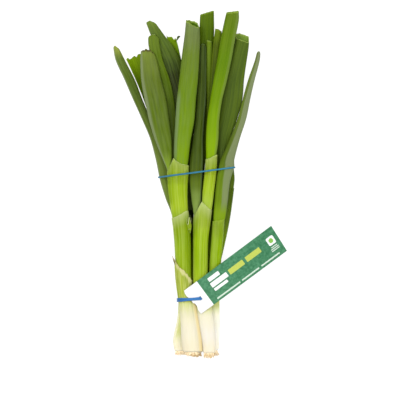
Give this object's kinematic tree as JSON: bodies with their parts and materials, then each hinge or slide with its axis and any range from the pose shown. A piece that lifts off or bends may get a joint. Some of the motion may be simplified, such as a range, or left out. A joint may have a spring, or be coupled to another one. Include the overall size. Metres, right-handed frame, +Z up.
{
  "type": "spring onion bunch",
  "caption": "Bunch of spring onions lying flat, with nested pale shafts, hollow green leaves, trimmed roots, elastic bands and a plain card tag.",
  "frame": {"origin": "middle of the bunch's plan outline, on the surface it lies on", "axes": "+Y from the roots to the leaf ends, +Z up from the surface, +X to the right when the showing side is looked down on with the leaf ends away"},
  "size_m": [0.1478, 0.2975, 0.0295],
  "materials": {
    "shaft": "satin, cream at the root end, yellow-green above, with fine pale veins",
    "roots": "matt, dry and fibrous",
    "leaf": "satin with a waxy bloom and fine lengthwise veins",
    "leaf_inside": "satin, bright inner face of an opened leaf",
    "dry_skin": "matt papery skin with tan veins",
    "elastic": "matt blue rubber",
    "card": "coated card, green front with a white tail"
  },
  "bodies": {
    "root": {"plant_1_shaft": "shaft", "plant_2_shaft": "shaft", "plant_3_shaft": "shaft", "plant_4_shaft": "shaft", "plant_5_shaft": "shaft", "plant_1_leaf_left": "leaf", "plant_1_leaf_centre": "leaf", "plant_1_leaf_back": "leaf", "plant_2_leaf_left": "leaf", "plant_2_leaf_centre": "leaf", "plant_2_leaf_right": "leaf", "plant_2_leaf_back": "leaf", "plant_3_leaf_right": "leaf", "plant_3_leaf_left": "leaf", "plant_4_leaf_left": "leaf", "plant_4_leaf_opened": "leaf_inside", "plant_4_leaf_right": "leaf", "plant_5_leaf_right": "leaf", "plant_5_leaf_slender": "leaf", "plant_5_leaf_opened": "leaf_inside", "plant_1_roots": "roots", "plant_2_roots": "roots", "plant_3_roots": "roots", "plant_4_roots": "roots", "plant_5_roots": "roots", "plant_1_dry_skin": "dry_skin", "tag": "card", "band_upper": "elastic", "band_lower": "elastic"}
  },
  "joints": []
}
